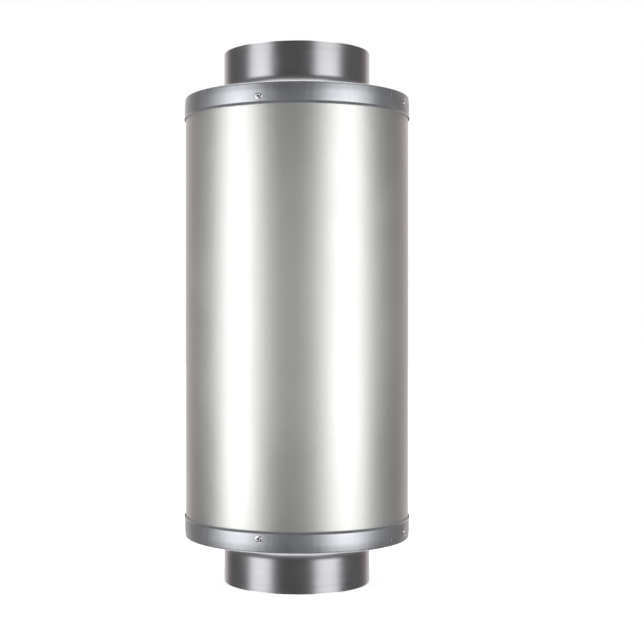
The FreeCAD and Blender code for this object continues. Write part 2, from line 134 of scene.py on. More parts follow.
def grid_piece(name, turns, outer, inner, normal, arc, side, face_z, lift=None, lift_in=None, closed=True):
    """A sheet swept round the axis. lift(turn grid, row index) moves the outer face along its normal, in mm."""
    m, n = len(outer), len(turns)
    t = np.radians(turns)
    rows = np.vstack([outer, inner[::-1]])
    norm = np.vstack([normal, normal[::-1]])
    arcs = np.concatenate([arc, arc[::-1]])
    r = np.repeat(rows[:, :1], n, axis=1)
    z = np.repeat(rows[:, 1:2], n, axis=1)
    if lift is not None:
        h = lift(turns[None, :], outer[:, 0:1], outer[:, 1:2])
        r[:m] += h * norm[:m, 0:1]
        z[:m] += h * norm[:m, 1:2]
    if lift_in is not None:
        h = lift_in(turns[None, :], inner[::-1][:, 0:1], inner[::-1][:, 1:2])
        r[m:] += h * norm[m:, 0:1]
        z[m:] += h * norm[m:, 1:2]
    x = r * np.sin(t)[None, :]
    y = -r * np.cos(t)[None, :]
    zz = face_z + side * z
    co = np.stack([x, y, zz], axis=-1).reshape(-1, 3) * MM
    k = 2 * m
    i = np.arange(k)
    j = np.arange(n if closed else n - 1)
    a = (i[:, None] * n + j[None, :])
    b = (((i + 1) % k)[:, None] * n + j[None, :])
    c = (((i + 1) % k)[:, None] * n + ((j + 1) % n)[None, :])
    d = (i[:, None] * n + ((j + 1) % n)[None, :])
    quads = np.stack([a, b, c, d], axis=-1).reshape(-1, 4)
    if not closed:
        p = np.arange(m - 1)
        for col, flip in ((0, False), (n - 1, True)):
            cap = np.stack([p * n + col, (p + 1) * n + col, (k - 2 - p) * n + col, (k - 1 - p) * n + col], axis=-1)
            quads = np.vstack([quads, cap[:, ::-1] if not flip else cap])
    if side > 0:
        quads = quads[:, ::-1]
    return mesh_piece(name, co, quads, {
        "along": np.repeat(arcs, n) * MM,
        "wear": np.repeat(wear_of(arcs, arc), n),
    })


def wear_of(arcs, arc):
    """1 at a sheet's cut edges, fading over about a millimetre."""
    gap = np.minimum(arcs, arc[-1] - arcs)
    return np.exp(-np.maximum(gap - 0.1, 0.0) / 0.45)


def mesh_piece(name, co, quads, attributes=None, sharp=34.0):
    mesh = bpy.data.meshes.new(name)
    mesh.vertices.add(len(co))
    mesh.vertices.foreach_set("co", np.asarray(co, np.float32).ravel())
    count = len(quads)
    size = quads.shape[1]
    mesh.loops.add(count * size)
    mesh.loops.foreach_set("vertex_index", quads.astype(np.int32).ravel())
    mesh.polygons.add(count)
    mesh.polygons.foreach_set("loop_start", np.arange(0, count * size, size, dtype=np.int32))
    mesh.polygons.foreach_set("use_smooth", np.ones(count, bool))
    mesh.update(calc_edges=True)
    mesh.validate()
    # faces point outwards: the sign of the closed mesh's volume tells
    v = np.asarray(co, float)
    q = quads
    vol = 0.0
    for tri in ((0, 1, 2), (0, 2, 3))[: size - 2]:
        p0, p1, p2 = v[q[:, tri[0]]], v[q[:, tri[1]]], v[q[:, tri[2]]]
        vol += float(np.einsum("ij,ij->i", p0, np.cross(p1, p2)).sum())
    if vol < 0:
        mesh.flip_normals()
    mesh.set_sharp_from_angle(angle=math.radians(sharp))
    for key, values in (attributes or {}).items():
        layer = mesh.attributes.new(key, "FLOAT", "POINT")
        layer.data.foreach_set("value", np.asarray(values, np.float32))
    obj = bpy.data.objects.new(name, mesh)
    bpy.context.scene.collection.objects.link(obj)
    return obj


def smooth_step(x):
    x = np.clip(x, 0.0, 1.0)
    return x * x * (3 - 2 * x)


def apart(turn, centre):
    """Signed difference of two turns, in degrees."""
    return (turn - centre + 180.0) % 360.0 - 180.0


def ripple(turn, rng, low, high, count, size):
    """Low waves round a rolled sheet, whole numbers of them, so that they close."""
    total = np.zeros_like(turn)
    for _ in range(count):
        k = int(rng.integers(low, high))
        total = total + math.sqrt(low / k) * np.cos(np.radians(turn) * k + rng.uniform(0, 2 * math.pi)) * rng.uniform(0.4, 1.0)
    return total * size / math.sqrt(count)


def one_mesh(name, pieces, sharp=34.0):
    """Joins (vertices, quads, attributes) lists into one mesh of separate closed solids."""
    cos, faces, shift = [], [], 0
    keys = list(pieces[0][2].keys())
    values = {k: [] for k in keys}
    for co, quads, attributes in pieces:
        cos.append(co)
        faces.append(quads + shift)
        shift += len(co)
        for k in keys:
            values[k].append(attributes[k])
    return mesh_piece(name, np.vstack(cos), np.vstack(faces), {k: np.concatenate(values[k]) for k in keys}, sharp)


def turned(section, segments, wobble=None):
    """A closed (radius, height) section turned about its own z axis, in mm."""
    section = np.asarray(section, float)
    k = len(section)
    a = np.linspace(0, 2 * math.pi, segments, endpoint=False)
    r = np.repeat(section[:, :1], segments, axis=1)
    z = np.repeat(section[:, 1:2], segments, axis=1)
    if wobble is not None:
        r, z = wobble(r, z, a[None, :])
    co = np.stack([r * np.cos(a), r * np.sin(a), z], axis=-1).reshape(-1, 3)
    i, j = np.arange(k), np.arange(segments)
    p = i[:, None] * segments + j[None, :]
    q = ((i + 1) % k)[:, None] * segments + j[None, :]
    s = ((i + 1) % k)[:, None] * segments + ((j + 1) % segments)[None, :]
    t = i[:, None] * segments + ((j + 1) % segments)[None, :]
    return co, np.stack([p, q, s, t], axis=-1).reshape(-1, 4)


def at_radius(co, turn, radius, height, spin=0.0):
    """Moves a fastener drawn along +z so that its axis points outwards at a turn."""
    t, s = math.radians(turn), math.radians(spin)
    out = np.array([math.sin(t), -math.cos(t), 0.0])
    up = np.array([0.0, 0.0, 1.0])
    across = np.cross(up, out)
    x = co[:, 0] * math.cos(s) - co[:, 1] * math.sin(s)
    y = co[:, 0] * math.sin(s) + co[:, 1] * math.cos(s)
    return (out * radius + up * height)[None, :] + x[:, None] * across + y[:, None] * up + co[:, 2:3] * out


# ---------------------------------------------------------------------------
# End plates: spun sheet
# ---------------------------------------------------------------------------
def build_end_plate(name, side, face_z, seed):
    rng = np.random.default_rng(seed)
    outer, inner, normal, arc = sheet(
        [(152.10, -23.6), (152.10, -0.6), (129.0, -0.6), (123.0, 3.9), (105.6, 4.3), (99.0, 11.5), (99.0, 60.9)],
        [0, 2.9, 2.6, 12.0, 7.5, 16.0, 0], 1.4)
    turns = np.arange(0.0, 360.0, 1.25)
    phases = rng.uniform(0, 2 * math.pi, 4)

    def lift(turn, r, z):
        # the tool's slow chatter while spinning, and the rim a little out of round
        a = np.radians(turn)
        pull = 0.011 * np.sin(z * 1.35 + phases[0]) + 0.006 * np.sin(r * 1.2 + phases[1])
        return pull + 0.012 * np.cos(3 * a + phases[2]) * smooth_step((z - 30) / 30.0) + 0.006 * np.cos(7 * a + phases[3])

    return grid_piece(name, turns, outer, inner, normal, arc, side, face_z, lift)


# ---------------------------------------------------------------------------
# Closing bands: rolled strip with turned-in edge, flared lip, lap joint and spot weld marks
# ---------------------------------------------------------------------------
def build_band(name, side, face_z, seed):
    rng = np.random.default_rng(seed)
    outer, inner, normal, arc = sheet(
        [(153.70, -28.6), (152.75, -25.2), (152.75, 0.0), (146.55, 0.0)],
        [0, 2.4, 3.5, 0], 0.66)
    lap_from = 128.0 if side > 0 else 123.4
    lap_to = lap_from + 4.6
    places = [(w, 1.5, 0.15) for w in WELDS] + [(lap_from, 0.36, 0.06), (lap_to, 0.36, 0.06), ((lap_from + lap_to) / 2, 1.9, 0.4)]
    turns = turns_with(0.75, places)
    state = rng.bit_generator.state

    def lift(turn, r, z):
        local = np.random.default_rng(seed + 7)
        wave = ripple(turn, local, 24, 150, 26, 0.0105) + ripple(turn, local, 3, 12, 5, 0.035)
        grow = smooth_step((z + 28.6) / 5.0) * smooth_step((1.0 - z) / 3.0) * (r > 150.0)
        h = wave * grow + 0 * z
        # the rolled face is slightly crowned
        h = h - smooth_step((r - 151.9) / 0.8) * (0.50 * smooth_step((z + 14.5) / 11.0) * (z + 14.5) / 11.0 + 0.10 * smooth_step((-20.6 - z) / 6.0))
        for w in WELDS:
            dx = np.radians(apart(turn, w)) * BAND_R
            dz = (z + WELD_DROP) * 0.92
            d = np.sqrt(dx * dx + dz * dz)
            on_face = (r > 152.6)
            h = h - on_face * 0.34 * smooth_step((2.75 - d) / 1.5) + on_face * 0.05 * np.exp(-((d - 3.0) / 0.45) ** 2)
        # the strip's outer end lies over its start: a cut edge on one side, a soft joggle on the other
        p = (turn - lap_from) if side > 0 else (lap_to - turn)
        raised = smooth_step(p / 0.07) * (1 - smooth_step((p - 3.3) / 1.3))
        band = smooth_step((z + 24.9) / 0.7) * (1 - smooth_step((z + 3.6) / 0.5)) * (r > 152.0)
        return h + 0.6 * raised * band

    obj = grid_piece(name, turns, outer, inner, normal, arc, side, face_z, lift)
    return obj


# ---------------------------------------------------------------------------
# Jacket
# ---------------------------------------------------------------------------
def build_shell(name):
    half = 294.0
    dents = [-260.0 + k * 57.8 for k in range(10)]
    zs = np.concatenate([[-half, half], np.linspace(-half + 0.6, half - 0.6, 54)] + [[d - 3.4, d - 1.9, d, d + 1.9, d + 3.4] for d in dents])
    zs = np.unique(np.round(zs, 4))
    outer = np.stack([np.full(len(zs), SHELL_R), zs], axis=1)
    inner = np.stack([np.full(len(zs), SHELL_R - GAUGE), zs], axis=1)
    normal = np.stack([np.ones(len(zs)), np.zeros(len(zs))], axis=1)
    arc = zs - zs[0]
    seam = 174.0 + 4.6 * 0.3
    turns = turns_with(1.2, [(seam, 0.42, 0.035), (174.0, 3.2, 0.3)])
    turns = np.array(sorted(set(turns)))
    local = np.random.default_rng(41)
    waves = [(int(local.integers(2, 9)), local.uniform(0, 6.28), local.uniform(90, 340), local.uniform(0, 6.28)) for _ in range(9)]
    fine = [(int(local.integers(14, 60)), local.uniform(0, 6.28)) for _ in range(14)]

    def lift(turn, r, z):
        a = np.radians(turn)
        h = 0 * turn * z
        for k, p, length, q in waves:
            h = h + 0.030 * np.cos(k * a + p) * np.cos(2 * math.pi * z / length + q) / 3.0
        for k, p in fine:
            h = h + 0.0030 * np.cos(k * a + p + 0.0012 * z)
        d = apart(turn, seam)
        slit = smooth_step((0.105 - np.abs(d)) / 0.03)
        crown = np.where(d < 0, 0.16 * np.exp(d / 1.1), -0.10 * np.exp(-d / 1.3))
        h = h * (1 - np.exp(-(d / 2.0) ** 2)) + crown * (1 - slit) - 0.52 * slit
        for dent in dents:
            dz = z - dent
            dx = np.radians(apart(turn, 174.0 - 0.25)) * SHELL_R
            dist = np.sqrt(dx * dx * 0.8 + dz * dz * 0.55)
            h = h - 0.10 * smooth_step((2.9 - dist) / 1.8)
        return h

    return grid_piece(name, turns, outer, inner, normal, arc, 1, MID, lift)


# ---------------------------------------------------------------------------
# Airway lining: felted fleece over the slotted tube, with a butt joint
# ---------------------------------------------------------------------------
def build_fleece(name):
    half = 357.5
    zs = np.unique(np.round(np.concatenate([
        np.linspace(-half, -half + 2.4, 5), np.linspace(-half + 4, half - 4, 152), np.linspace(half - 2.4, half, 5)]), 4))
    r_out = np.where(np.abs(zs) > 340.5, 98.33, 97.63)
    r_in = np.full(len(zs), 95.17)
    edge = np.minimum(half - np.abs(zs), 1.25)
    soft = 1.25 - np.sqrt(np.maximum(1.25 ** 2 - (1.25 - edge) ** 2, 0))
    outer = np.stack([r_out - soft * 0.8, zs], axis=1)
    inner = np.stack([r_in + soft * 0.8, zs], axis=1)
    normal = np.stack([np.ones(len(zs)), np.zeros(len(zs))], axis=1)
    arc = zs - zs[0]
    turns = np.linspace(187.15, 187.0 + 359.85, 240)
    local = np.random.default_rng(11)
    rough = local.normal(0, 1, (len(zs), len(turns)))
    for _ in range(2):
        rough = (rough + np.roll(rough, 1, 0) + np.roll(rough, -1, 0) + np.roll(rough, 1, 1) + np.roll(rough, -1, 1)) / 5
    rough = rough / rough.std()
    cloud = local.normal(0, 1, (len(zs), len(turns)))
    for _ in range(30):
        cloud = (cloud + np.roll(cloud, 1, 0) + np.roll(cloud, -1, 0) + np.roll(cloud, 1, 1) + np.roll(cloud, -1, 1)) / 5
    cloud = cloud / cloud.std()

    def lift_in(turn, r, z):
        # sinks a little into the perforation behind it
        row = (z + 280.0) / 40.0
        k = np.clip(np.round(row), 0, 14)
        dz = z - (-280.0 + 40.0 * k)
        column = 360.0 / 44
        phase = apart(turn, 90.0) / column - 0.5 * (k % 2)
        dx = np.radians((phase - np.round(phase)) * column) * 96.0
        slot = smooth_step((5.2 - np.abs(dx)) / 3.6) * smooth_step((15.6 - np.abs(dz)) / 4.0)
        ends = smooth_step((352.0 - np.abs(z)) / 6.0)
        h = 0.34 * slot * (np.abs(z) < 300)
        fuzz = 0.10 * rough[::-1] + 0.13 * cloud[::-1]
        return np.clip((h + fuzz * 0.8) * (0.3 + 0.7 * ends), -0.02, 0.9)

    obj = grid_piece(name, turns, outer, inner, normal, arc, 1, MID, None, lift_in, closed=False)
    return obj


# ---------------------------------------------------------------------------
# Fasteners
# ---------------------------------------------------------------------------
def arc_points(cr, cz, radius, a0, a1, steps):
    a = np.radians(np.linspace(a0, a1, steps))
    return [(cr + radius * math.cos(v), cz + radius * math.sin(v)) for v in a]


def rivet_section():
    # from the bore's foot up the bore, over the domed head, down the shank to the bulb
    points = [(1.4, -4.95), (1.4, -2.0), (1.4, 0.4), (1.4, 1.05)]
    points += arc_points(1.75, 1.2, 0.33, 180, 96, 7)
    points += [(1.95, 1.565), (2.2, 1.57)]
    dome = []
    for t in np.linspace(0, 1, 16):
        r = 2.3 + (4.62 - 2.3) * t
        z = 0.40 + 1.16 * math.sqrt(max(0.0, 1 - (0.985 * t) ** 2))
        dome.append((r, z))
    points += dome
    points += arc_points(4.55, 0.27, 0.24, 48, -40, 6)
    points += [(4.62, 0.02), (4.3, 0.0), (3.2, 0.0), (2.4, 0.0), (2.4, -1.0), (2.4, -1.95), (2.9, -2.02)]
    points += [(3.3, -2.35), (3.4, -3.2), (3.3, -4.1), (2.9, -4.75), (2.3, -4.95)]
    return points


def build_rivets(name, side, face_z, seed):
    rng = np.random.default_rng(seed)
    pieces = []
    for turn, drop in RIVETS:
        tilt, p = rng.uniform(0.0, 0.05), rng.uniform(0, 6.28)

        def wobble(r, z, a):
            # a pulled head is never quite true
            head = (z > 0.05) & (r > 1.6)
            z = np.where(head, z * (1 + tilt * np.cos(a - p) * 0.9), z)
            ring = (z > 1.2) & (r < 2.6)
            z = np.where(ring, z - 0.05 * (1 + np.cos(3 * a + p)) * 0.5, z + 0 * a)
            r = np.where(head & (r > 4.2), r * (1 + 0.006 * np.cos(2 * a + p)), r + 0 * a)
            return r, z

        co, quads = turned(rivet_section(), 72, wobble)
        co = at_radius(co, turn, BAND_R + 0.02, face_z - side * drop, rng.uniform(0, 360))
        pieces.append((co * MM, quads, {"wear": np.zeros(len(co))}))
    return one_mesh(name, pieces, 50.0)


def build_mandrels(name, side, face_z, seed):
    rng = np.random.default_rng(seed)
    pieces = []
    for turn, drop in RIVETS:
        p, q = rng.uniform(0, 6.28), rng.uniform(0, 6.28)
        section = [(0.012, 0.62), (0.3, 0.60), (0.62, 0.52), (0.95, 0.40), (1.2, 0.28), (1.32, 0.12), (1.34, -0.3),
                   (1.34, -2.5), (1.34, -4.99), (2.15, -5.02), (2.2, -5.3), (2.15, -5.8), (1.85, -6.3), (1.3, -6.62), (0.6, -6.66), (0.012, -6.66)]

        def wobble(r, z, a):
            # torn end of the snapped stem
            torn = (z > 0.1) & (r < 1.34)
            rough = 0.13 * np.cos(2 * a + p) * r + 0.07 * np.cos(5 * a + q) * r + 0.05 * np.sin(9 * a + p)
            return r + 0 * a, np.where(torn, z + rough * np.minimum(r, 1.0), z + 0 * a)

        co, quads = turned(section, 48, wobble)
        co = at_radius(co, turn, BAND_R + 0.02, face_z - side * drop, rng.uniform(0, 360))
        pieces.append((co * MM, quads, {"wear": np.zeros(len(co))}))
    return one_mesh(name, pieces, 40.0)


# ---------------------------------------------------------------------------
# Node materials
# ---------------------------------------------------------------------------
class Mat:
    def __init__(self, name):
        self.m = bpy.data.materials.new(name)
        self.m.use_nodes = True
        self.t = self.m.node_tree
        self.t.nodes.clear()
        self.out = self.n("ShaderNodeOutputMaterial")
        self.p = self.n("ShaderNodeBsdfPrincipled")
        self.link(self.p, "BSDF", self.out, "Surface")

    def n(self, kind, **props):
        node = self.t.nodes.new(kind)
        for key, value in props.items():
            setattr(node, key, value)
        return node

    def link(self, a, sa, b, sb):
        self.t.links.new(a.outputs[sa], b.inputs[sb])

    def set(self, **values):
        for key, value in values.items():
            self.p.inputs[key.replace("_", " ")].default_value = value

    def coords(self):
        node = self.n("ShaderNodeTexCoord")
        return node.outputs["Object"]

    def attr(self, name):
        return self.n("ShaderNodeAttribute", attribute_name=name).outputs["Fac"]

    def math(self, op, a, b=None, clamp=False):
        node = self.n("ShaderNodeMath", operation=op, use_clamp=clamp)
        for i, v in enumerate((a, b)):
            if v is None:
                continue
            if isinstance(v, (int, float)):
                node.inputs[i].default_value = v
            else:
                self.t.links.new(v, node.inputs[i])
        return node.outputs[0]

    def split(self, vector):
        node = self.n("ShaderNodeSeparateXYZ")
        self.t.links.new(vector, node.inputs[0])
        return node.outputs

    def vec(self, x, y, z):
        node = self.n("ShaderNodeCombineXYZ")
        for i, v in enumerate((x, y, z)):
            if isinstance(v, (int, float)):
                node.inputs[i].default_value = v
            else:
                self.t.links.new(v, node.inputs[i])
        return node.outputs[0]

    def noise(self, vector, scale, detail=2.0, rough=0.5, distortion=0.0):
        node = self.n("ShaderNodeTexNoise")
        node.inputs["Scale"].default_value = scale
        node.inputs["Detail"].default_value = detail
        node.inputs["Roughness"].default_value = rough
        node.inputs["Distortion"].default_value = distortion
        self.t.links.new(vector, node.inputs["Vector"])
        return node.outputs["Fac"]

    def span(self, value, lo, hi, a=0.0, b=1.0):
        node = self.n("ShaderNodeMapRange")
        node.inputs["From Min"].default_value = lo
        node.inputs["From Max"].default_value = hi
        node.inputs["To Min"].default_value = a
        node.inputs["To Max"].default_value = b
        self.t.links.new(value, node.inputs["Value"])
        return node.outputs["Result"]

    def ramp(self, value, stops):
        node = self.n("ShaderNodeValToRGB")
        ramp = node.color_ramp
        while len(ramp.elements) < len(stops):
            ramp.elements.new(0.5)
        for e, (pos, colour) in zip(ramp.elements, stops):
            e.position = pos
            e.color = (*colour, 1.0)
        self.t.links.new(value, node.inputs[0])
        return node.outputs["Color"]

    def mix(self, fac, a, b, blend="MIX"):
        node = self.n("ShaderNodeMix", data_type="RGBA", blend_type=blend)
        for i, v in ((0, fac), (6, a), (7, b)):
            if isinstance(v, (int, float)):
                node.inputs[i].default_value = v
            elif isinstance(v, tuple):
                node.inputs[i].default_value = (*v, 1.0)
            else:
                self.t.links.new(v, node.inputs[i])
        return node.outputs[2]

    def bump(self, height, strength, distance, before=None):
        node = self.n("ShaderNodeBump")
        node.inputs["Strength"].default_value = strength
        node.inputs["Distance"].default_value = distance
        self.t.links.new(height, node.inputs["Height"])
        if before is not None:
            self.t.links.new(before, node.inputs["Normal"])
        return node.outputs["Normal"]

    def to(self, socket, name):
        self.t.links.new(socket, self.p.inputs[name])


def spun_steel():
    m = Mat("spun_steel_rings")
    xyz = m.split(m.coords())
    along = m.attr("along")
    wear = m.attr("wear")
    low_x, low_y = m.math("MULTIPLY", xyz[0], 9.0), m.math("MULTIPLY", xyz[1], 9.0)
    fine = m.noise(m.vec(low_x, low_y, m.math("MULTIPLY", along, 1900.0)), 1.0, 3.0, 0.62)
    broad = m.noise(m.vec(m.math("MULTIPLY", xyz[0], 5.0), m.math("MULTIPLY", xyz[1], 5.0), m.math("MULTIPLY", along, 260.0)), 1.0, 2.0, 0.55)
    cloud = m.noise(m.coords(), 16.0, 3.0, 0.6, 0.6)
    tone = m.math("ADD", m.math("MULTIPLY", fine, 0.55), m.math("ADD", m.math("MULTIPLY", broad, 0.30), m.math("MULTIPLY", cloud, 0.15)))
    colour = m.ramp(tone, [(0.30, (0.462, 0.457, 0.476)), (0.50, (0.530, 0.527, 0.549)), (0.70, (0.592, 0.590, 0.614))])
    colour = m.mix(m.span(cloud, 0.52, 0.75, 0.0, 0.30), colour, (0.50, 0.485, 0.470))
    colour = m.mix(m.math("MULTIPLY", wear, 0.75), colour, (0.80, 0.80, 0.81))
    m.to(colour, "Base Color")
    rough = m.math("ADD", m.span(fine, 0.3, 0.7, 0.315, 0.365), m.span(cloud, 0.35, 0.7, -0.015, 0.02))
    rough = m.math("SUBTRACT", rough, m.math("MULTIPLY", wear, 0.06))
    m.to(rough, "Roughness")
    normal = m.bump(broad, 0.09, 0.00010)
    normal = m.bump(fine, 0.12, 0.00003, normal)
    m.to(normal, "Normal")
    m.set(Metallic=1.0, Anisotropic=0.28, Anisotropic_Rotation=0.25)
    return m.m


def band_steel():
    m = Mat("rolled_band_steel")
    xyz = m.split(m.coords())
    wear = m.attr("wear")
    along = m.attr("along")
    # faint drawn lines across the strip, from rolling it round
    streak = m.noise(m.vec(m.math("MULTIPLY", xyz[0], 420.0), m.math("MULTIPLY", xyz[1], 420.0), m.math("MULTIPLY", along, 14.0)), 1.0, 3.0, 0.6)
    line = m.noise(m.vec(m.math("MULTIPLY", xyz[0], 12.0), m.math("MULTIPLY", xyz[1], 12.0), m.math("MULTIPLY", along, 1500.0)), 1.0, 2.0, 0.6)
    cloud = m.noise(m.coords(), 30.0, 3.0, 0.6, 0.4)
    tone = m.math("ADD", m.math("MULTIPLY", streak, 0.55), m.math("ADD", m.math("MULTIPLY", line, 0.20), m.math("MULTIPLY", cloud, 0.25)))
    colour = m.ramp(tone, [(0.30, (0.545, 0.562, 0.598)), (0.50, (0.618, 0.636, 0.668)), (0.70, (0.676, 0.692, 0.722))])
    colour = m.mix(m.math("MULTIPLY", wear, 0.55), colour, (0.74, 0.755, 0.78))
    m.to(colour, "Base Color")
    rough = m.math("ADD", m.span(streak, 0.3, 0.7, 0.345, 0.395), m.span(cloud, 0.35, 0.7, -0.02, 0.03))
    m.to(rough, "Roughness")
    normal = m.bump(streak, 0.14, 0.00012)
    normal = m.bump(line, 0.10, 0.00005, normal)
    m.to(normal, "Normal")
    m.set(Metallic=1.0, Anisotropic=0.5)
    return m.m


def jacket_steel():
    m = Mat("satin_jacket_steel")
    xyz = m.split(m.coords())
    wear = m.attr("wear")
    grain = m.noise(m.coords(), 950.0, 3.0, 0.65)
    drawn = m.noise(m.vec(m.math("MULTIPLY", xyz[0], 300.0), m.math("MULTIPLY", xyz[1], 300.0), m.math("MULTIPLY", xyz[2], 7.0)), 1.0, 3.0, 0.6)
    cloud = m.noise(m.coords(), 7.0, 4.0, 0.55, 0.8)
    spangle = m.noise(m.coords(), 110.0, 2.0, 0.5, 0.5)
    tone = m.math("ADD", m.math("MULTIPLY", grain, 0.40), m.math("ADD", m.math("MULTIPLY", drawn, 0.25), m.math("ADD", m.math("MULTIPLY", cloud, 0.20), m.math("MULTIPLY", spangle, 0.15))))
    colour = m.ramp(tone, [(0.30, (0.800, 0.800, 0.776)), (0.50, (0.850, 0.850, 0.830)), (0.70, (0.885, 0.885, 0.868))])
    colour = m.mix(m.math("MULTIPLY", wear, 0.4), colour, (0.86, 0.86, 0.85))
    m.to(colour, "Base Color")
    rough = m.math("ADD", m.span(cloud, 0.35, 0.68, 0.45, 0.49), m.span(grain, 0.3, 0.7, -0.02, 0.02))
    # rolled a little duller towards the middle of its height
    away = m.math("ABSOLUTE", m.math("SUBTRACT", xyz[2], 0.3585))
    rough = m.math("ADD", rough, m.span(away, 0.04, 0.27, 0.045, -0.012))
    m.to(rough, "Roughness")
    normal = m.bump(drawn, 0.06, 0.00010)
    normal = m.bump(grain, 0.10, 0.00004, normal)
    m.to(normal, "Normal")
    m.set(Metallic=1.0)
    return m.m


def rivet_metal():
    m = Mat("pulled_rivet_aluminium")
    cloud = m.noise(m.coords(), 700.0, 3.0, 0.6, 0.5)
    scratch = m.noise(m.coords(), 2600.0, 3.0, 0.65, 1.5)
    colour = m.ramp(m.math("ADD", m.math("MULTIPLY", cloud, 0.6), m.math("MULTIPLY", scratch, 0.4)),
                    [(0.32, (0.66, 0.66, 0.665)), (0.52, (0.80, 0.80, 0.80)), (0.70, (0.88, 0.88, 0.875))])
    m.to(colour, "Base Color")
    m.to(m.span(cloud, 0.3, 0.7, 0.20, 0.32), "Roughness")
    m.to(m.bump(scratch, 0.15, 0.00003), "Normal")
    m.set(Metallic=1.0)
    return m.m


def mandrel_metal_painted_shade():
    m = Mat("mandrel_steel_with_painted_bore_shade")
    grit = m.noise(m.coords(), 3400.0, 4.0, 0.7)
    # near-black stem colour: partly the snapped steel stem's own dark tone, partly painted shade that makes each
    # rivet's bore read dark
    colour = m.ramp(grit, [(0.35, (0.007, 0.007, 0.0065)), (0.55, (0.020, 0.019, 0.018)), (0.75, (0.085, 0.082, 0.08))])
    m.to(colour, "Base Color")
    m.to(m.span(grit, 0.3, 0.7, 0.42, 0.62), "Roughness")
    m.to(m.bump(grit, 0.5, 0.00010), "Normal")
    m.set(Metallic=1.0)
    return m.m


def fleece():
    m = Mat("black_felted_fleece")
    xyz = m.split(m.coords())
    fibre = m.noise(m.coords(), 900.0, 4.0, 0.75, 2.2)
    tuft = m.noise(m.coords(), 210.0, 3.0, 0.6, 1.0)
    cloud = m.noise(m.coords(), 34.0, 2.0, 0.5)
    tone = m.math("ADD", m.math("MULTIPLY", fibre, 0.55), m.math("ADD", m.math("MULTIPLY", tuft, 0.3), m.math("MULTIPLY", cloud, 0.15)))
    colour = m.ramp(tone, [(0.34, (0.0065, 0.0065, 0.007)), (0.52, (0.017, 0.017, 0.018)), (0.70, (0.050, 0.050, 0.052))])
    m.to(colour, "Base Color")
    m.to(m.span(fibre, 0.3, 0.7, 0.86, 0.98), "Roughness")
    normal = m.bump(tuft, 0.45, 0.0010)
    normal = m.bump(fibre, 0.55, 0.0004, normal)
    m.to(normal, "Normal")
    m.set(Sheen_Weight=0.18, Sheen_Roughness=0.5, Specular_IOR_Level=0.2)
    return m.m


def slotted_steel():
    m = Mat("slotted_tube_zinc")
    flake = m.n("ShaderNodeTexVoronoi")
    flake.inputs["Scale"].default_value = 160.0
    m.t.links.new(m.coords(), flake.inputs["Vector"])
    cells = m.split(flake.outputs["Color"])
    grain = m.noise(m.coords(), 900.0, 3.0, 0.6)
    tone = m.math("ADD", m.math("MULTIPLY", cells[0], 0.5), m.math("MULTIPLY", grain, 0.5))
    m.to(m.ramp(tone, [(0.2, (0.50, 0.51, 0.52)), (0.5, (0.63, 0.635, 0.64)), (0.8, (0.72, 0.72, 0.72))]), "Base Color")
    m.to(m.span(cells[1], 0.0, 1.0, 0.30, 0.46), "Roughness")
    m.to(m.bump(grain, 0.15, 0.00006), "Normal")
    m.set(Metallic=1.0)
    return m.m


def wool():
    m = Mat("mineral_wool_fibre")
    xyz = m.split(m.coords())
    lay = m.noise(m.vec(m.math("MULTIPLY", xyz[0], 60.0), m.math("MULTIPLY", xyz[1], 60.0), m.math("MULTIPLY", xyz[2], 420.0)), 1.0, 5.0, 0.7, 1.6)
    cloud = m.noise(m.coords(), 40.0, 3.0, 0.6, 0.8)
    fibre = m.noise(m.coords(), 1100.0, 4.0, 0.75, 3.0)
    tone = m.math("ADD", m.math("MULTIPLY", lay, 0.4), m.math("ADD", m.math("MULTIPLY", cloud, 0.25), m.math("MULTIPLY", fibre, 0.35)))
    m.to(m.ramp(tone, [(0.32, (0.30, 0.235, 0.095)), (0.52, (0.56, 0.465, 0.215)), (0.72, (0.74, 0.655, 0.38))]), "Base Color")
    m.to(m.span(fibre, 0.3, 0.7, 0.85, 0.98), "Roughness")
    normal = m.bump(lay, 0.6, 0.002)
    normal = m.bump(fibre, 0.5, 0.0006, normal)
    m.to(normal, "Normal")
    m.set(Sheen_Weight=0.25, Specular_IOR_Level=0.25)
    return m.m


def foam():
    m = Mat("closed_cell_foam")
    cell = m.n("ShaderNodeTexVoronoi")
    cell.inputs["Scale"].default_value = 1300.0
    m.t.links.new(m.coords(), cell.inputs["Vector"])
    cloud = m.noise(m.coords(), 60.0, 2.0, 0.5)
    m.to(m.ramp(m.math("ADD", m.math("MULTIPLY", cell.outputs["Distance"], 0.6), m.math("MULTIPLY", cloud, 0.4)),
                [(0.2, (0.022, 0.022, 0.024)), (0.5, (0.045, 0.045, 0.048)), (0.8, (0.085, 0.085, 0.09))]), "Base Color")
    m.to(m.span(cloud, 0.3, 0.7, 0.78, 0.92), "Roughness")
    m.to(m.bump(cell.outputs["Distance"], 0.5, 0.0004), "Normal")
    m.set(Specular_IOR_Level=0.3)
    return m.m


# ---------------------------------------------------------------------------
# The object
# ---------------------------------------------------------------------------
MATERIALS = {
    "jacket_steel": jacket_steel(), "spun_steel": spun_steel(), "band_steel": band_steel(),
    "rivet_aluminium": rivet_metal(), "mandrel_steel": mandrel_metal_painted_shade(), "black_fleece": fleece(),
    "slotted_steel": slotted_steel(), "mineral_wool": wool(), "sealing_foam": foam(),
}


def finish_piece(obj, node, slot):
    obj.data.materials.append(MATERIALS[slot])
    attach(obj, "root")
    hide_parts(node)


